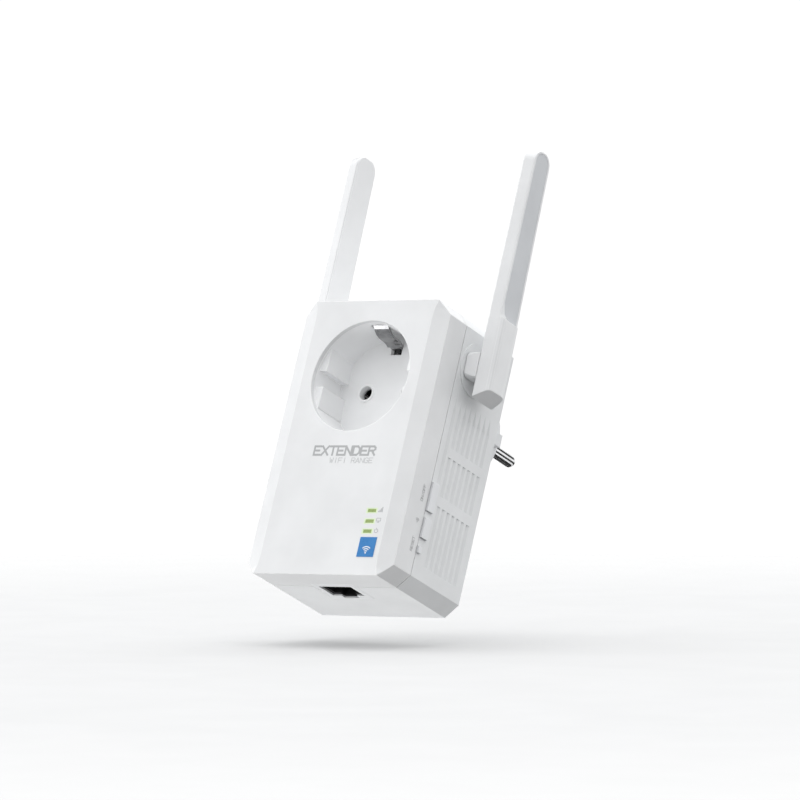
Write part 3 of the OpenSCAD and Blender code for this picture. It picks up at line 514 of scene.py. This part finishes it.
def floor_material():
    """White paper that fades out all round, clear from below so that a low camera sees past it."""
    mat, tree, out = tree_of("studio_floor")
    coords = tree.nodes.new("ShaderNodeTexCoord").outputs["Object"]
    paper = add(tree, "ShaderNodeBsdfDiffuse")
    fibre = ranged(tree, noise(tree, coords, 30.0, 3.0), 0.3, 0.7, 0.0, 1.0)
    tree.links.new(mixed(tree, fibre, (0.60, 0.60, 0.60), (0.585, 0.585, 0.585)),
                   paper.inputs["Color"])
    clear = tree.nodes.new("ShaderNodeBsdfTransparent")
    side = tree.nodes.new("ShaderNodeNewGeometry").outputs["Backfacing"]
    reach = add(tree, "ShaderNodeVectorMath", operation="DISTANCE")
    reach.inputs[1].default_value = tuple(floor_centre)
    tree.links.new(coords, reach.inputs[0])
    fade = ranged(tree, reach.outputs["Value"], FLOOR_SOLID, FLOOR_REACH, 0.0, 1.0)
    gone = add(tree, "ShaderNodeMath", operation="MAXIMUM")
    tree.links.new(side, gone.inputs[0])
    tree.links.new(fade, gone.inputs[1])
    pick = tree.nodes.new("ShaderNodeMixShader")
    tree.links.new(gone.outputs[0], pick.inputs[0])
    tree.links.new(paper.outputs[0], pick.inputs[1])
    tree.links.new(clear.outputs[0], pick.inputs[2])
    tree.links.new(pick.outputs[0], out.inputs["Surface"])
    return mat


away = forward * math.cos(FLOOR_TILT) + up * math.sin(FLOOR_TILT)
corners = [floor_centre + right * (i * FLOOR_REACH) + away * (j * FLOOR_REACH)
           for i, j in ((-1, -1), (1, -1), (1, 1), (-1, 1))]
sheet = bmesh.new()
sheet.faces.new([sheet.verts.new(place) for place in corners])
floor = new_piece("studio_floor", sheet, floor_material())
floor.visible_diffuse = floor.visible_glossy = floor.visible_shadow = False

# ------------------------------------------------------------ light
# A big soft studio: bright above and to the left, darker low on the right
LIGHT_LEVEL = 1.06
LIGHT_LOW, LIGHT_CAP = -0.95, 0.5  # the brightness rises along the slope between these
LIGHT_SLOPE = (-0.435, 0.045, 0.795)
PANEL_SLOPE = (0.35, 0.5, 1.0)
PANEL_REACH, PANEL_SWING = 1.2, 11.0  # the slope's ends, and the angle that the bands run to
PANEL_DARK, PANEL_BRIGHT = 0.03, 1.5

world = bpy.data.worlds.new("studio")
bpy.context.scene.world = world
world.use_nodes = True
tree = world.node_tree
tree.nodes.clear()
direction = tree.nodes.new("ShaderNodeTexCoord").outputs["Generated"]
ray = tree.nodes.new("ShaderNodeLightPath").outputs


def along(vector):
    """How far the looked-up direction points along a vector."""
    node = add(tree, "ShaderNodeVectorMath", operation="DOT_PRODUCT")
    tree.links.new(direction, node.inputs[0])
    node.inputs[1].default_value = vector
    return node.outputs["Value"]


def studio_background(strength, colour=(0.985, 0.992, 1.0, 1.0)):
    node = add(tree, "ShaderNodeBackground", Color=colour)
    tree.links.new(strength, node.inputs["Strength"])
    return node.outputs[0]


def either(factor, a, b):
    node = tree.nodes.new("ShaderNodeMixShader")
    tree.links.new(factor, node.inputs[0])
    tree.links.new(a, node.inputs[1])
    tree.links.new(b, node.inputs[2])
    return node.outputs[0]


soft = ranged(tree, along(LIGHT_SLOPE), LIGHT_LOW, LIGHT_CAP,
              LIGHT_LEVEL + LIGHT_LOW, LIGHT_LEVEL + LIGHT_CAP)
wave = add(tree, "ShaderNodeMath", operation="SINE")
swing = ranged(tree, along(PANEL_SLOPE), -PANEL_REACH, PANEL_REACH, -PANEL_SWING, PANEL_SWING)
tree.links.new(swing, wave.inputs[0])
panels = ranged(tree, wave.outputs[0], 0.05, 0.5, PANEL_DARK, PANEL_BRIGHT)
backdrop = add(tree, "ShaderNodeBackground", Color=(1.0, 1.0, 1.0, 1.0), Strength=1.05)
lit = either(ray["Is Glossy Ray"], studio_background(soft), studio_background(panels))
tree.links.new(either(ray["Is Camera Ray"], lit, backdrop.outputs[0]),
               tree.nodes.new("ShaderNodeOutputWorld").inputs["Surface"])


def soft_sun(name, towards, strength, spread):
    """Light from one side, shining along a direction."""
    data = bpy.data.lights.new(name, "SUN")
    data.energy = strength
    data.angle = math.radians(spread)
    obj = bpy.data.objects.new(name, data)
    obj.rotation_euler = Vector(towards).to_track_quat("-Z", "Y").to_euler()
    bpy.context.scene.collection.objects.link(obj)


soft_sun("low_left", (0.6, 0.05, 0.8), 1.5, 50)
soft_sun("overhead", (0.1, 0.1, -1.0), 0.6, 70)

scene = bpy.context.scene
scene.view_settings.view_transform = "Standard"
scene.view_settings.look = "None"
scene.view_settings.exposure = 0.0
